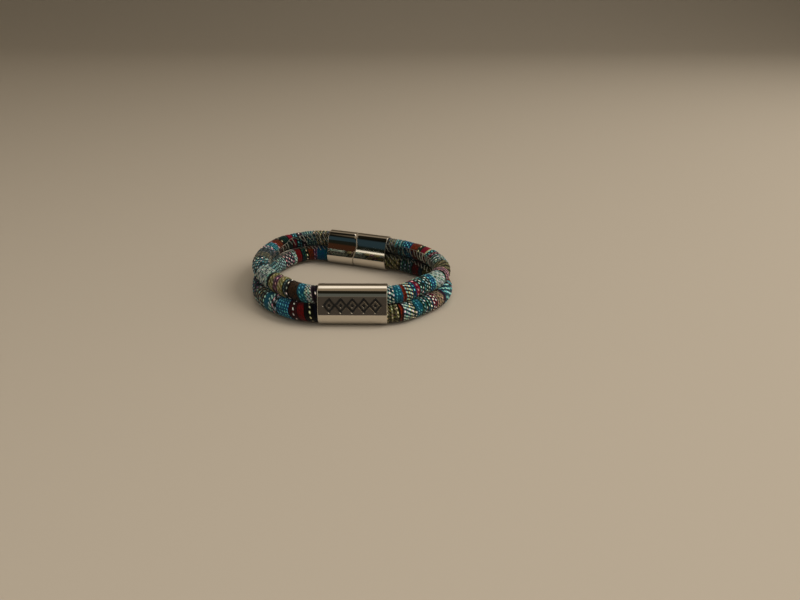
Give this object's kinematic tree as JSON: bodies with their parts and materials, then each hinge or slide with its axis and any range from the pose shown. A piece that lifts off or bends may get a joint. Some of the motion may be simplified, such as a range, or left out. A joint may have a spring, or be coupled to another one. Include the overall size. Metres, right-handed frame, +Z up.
{
  "type": "cord bracelet",
  "caption": "Closed bracelet of round cloth-covered strands laid one on the other, run through a flat metal slider tube and joined by a split metal clasp.",
  "frame": {"origin": "the middle of the bounding box, on the surface that the bracelet lies on", "axes": "+Z up, +X along the ring's width from the clasp's left half to its right half, and the slider towards -Y"},
  "size_m": [0.0736, 0.0597, 0.0132],
  "materials": {
    "polished_metal": "polished silver-coloured metal",
    "cord_cloth": "matte woven cotton in bands of many colours"
  },
  "bodies": {
    "root": {"slider_tube": "polished_metal", "clasp_half_left": "polished_metal", "clasp_half_right": "polished_metal", "upper_strand": "cord_cloth", "lower_strand": "cord_cloth"}
  },
  "joints": []
}
